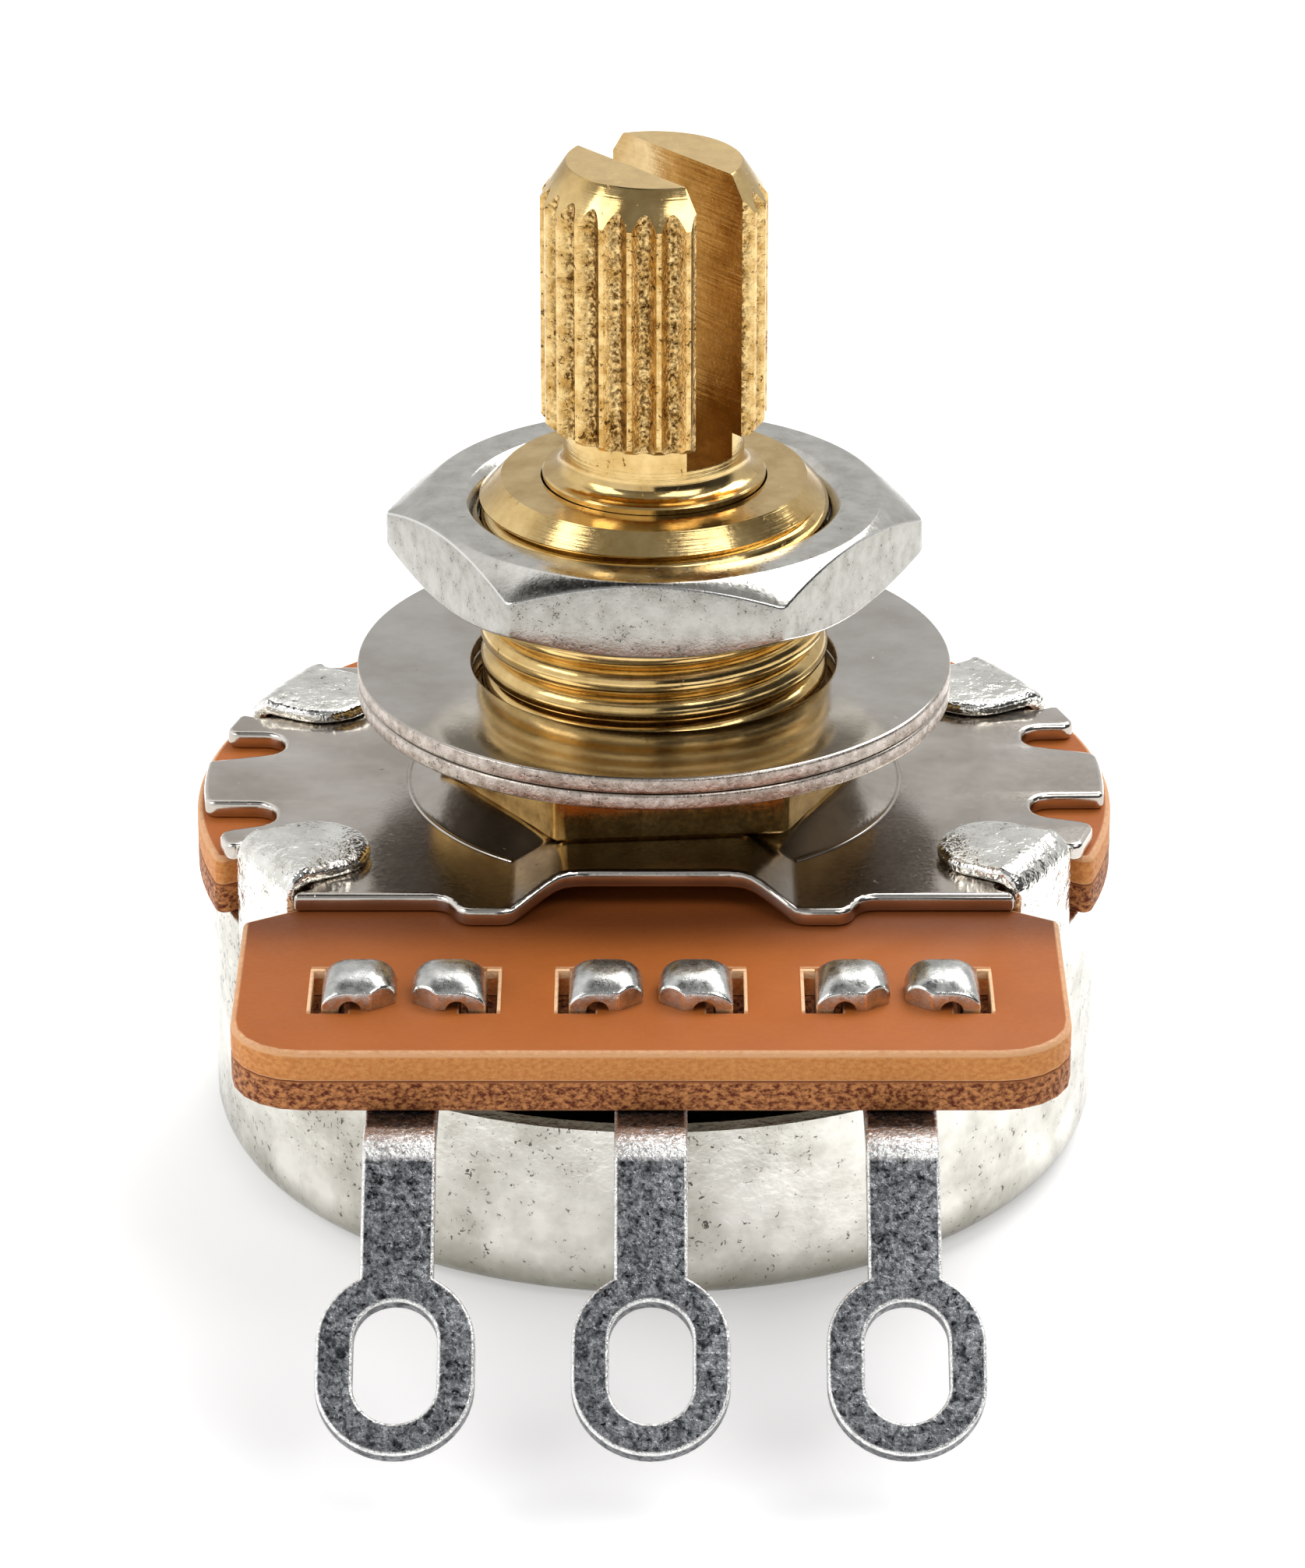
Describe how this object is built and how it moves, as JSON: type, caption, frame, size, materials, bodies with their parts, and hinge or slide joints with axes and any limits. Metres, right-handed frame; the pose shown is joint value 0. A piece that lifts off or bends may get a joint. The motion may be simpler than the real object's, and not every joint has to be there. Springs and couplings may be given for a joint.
{
  "type": "rotary potentiometer",
  "caption": "Panel rotary potentiometer with a split knurled shaft, short threaded bushing, nut, washers, crimped round can and a row of solder lugs.",
  "frame": {"origin": "centre of the flat back of the can, on the shaft axis", "axes": "+Z along the shaft away from the can, -Y towards the solder lugs, +X to the right seen from the lug side with the shaft up"},
  "size_m": [0.0252, 0.0369, 0.0279],
  "materials": {
    "tinned_steel": "bright mottled tin plate",
    "plate_steel": "satin plated steel",
    "washer_steel": "satin plated steel",
    "nickel": "nickel plate, slightly pitted",
    "brass": "bright turned brass",
    "tinned_brass": "dull tin plate over brass",
    "spring_bronze": "bright rolled spring sheet",
    "phenolic": "satin orange-brown laminate",
    "dark_phenolic": "red-brown laminate with sawn edge",
    "nylon": "natural moulded nylon",
    "carbon_ink": "matt carbon print",
    "silver_ink": "silver print"
  },
  "bodies": {
    "housing": {"cover": "tinned_steel", "element_board": "dark_phenolic", "terminal_board": "phenolic", "front_plate": "plate_steel", "bushing": "brass", "resistance_track": "carbon_ink", "left_end_pad": "silver_ink", "right_end_pad": "silver_ink", "collector_ring": "silver_ink", "left_lug": "tinned_brass", "centre_lug": "tinned_brass", "right_lug": "tinned_brass"},
    "turning_shaft": {"shaft": "brass", "retaining_ring": "plate_steel", "stop_arm": "plate_steel", "rotor": "nylon", "wiper": "spring_bronze"},
    "nut": {"hex_nut": "nickel"},
    "washer_upper": {"upper_washer": "washer_steel"},
    "washer_lower": {"lower_washer": "washer_steel"}
  },
  "joints": [
    {"name": "shaft_turn", "type": "hinge", "parent": "housing", "child": "turning_shaft", "pos_m": [0, 0, 0.016], "axis": [0, 0, 1], "range_deg": [-150, 150]},
    {"name": "nut_travel", "type": "slide", "parent": "housing", "child": "nut", "axis": [0, 0, 1], "range_m": [-0.0025, 0.0028]},
    {"name": "upper_washer_spin", "type": "hinge", "parent": "housing", "child": "washer_upper", "pos_m": [0, 0, 0.0133], "axis": [0, 0, 1], "continuous": true},
    {"name": "lower_washer_spin", "type": "hinge", "parent": "housing", "child": "washer_lower", "pos_m": [0, 0, 0.0129], "axis": [0, 0, 1], "continuous": true}
  ]
}
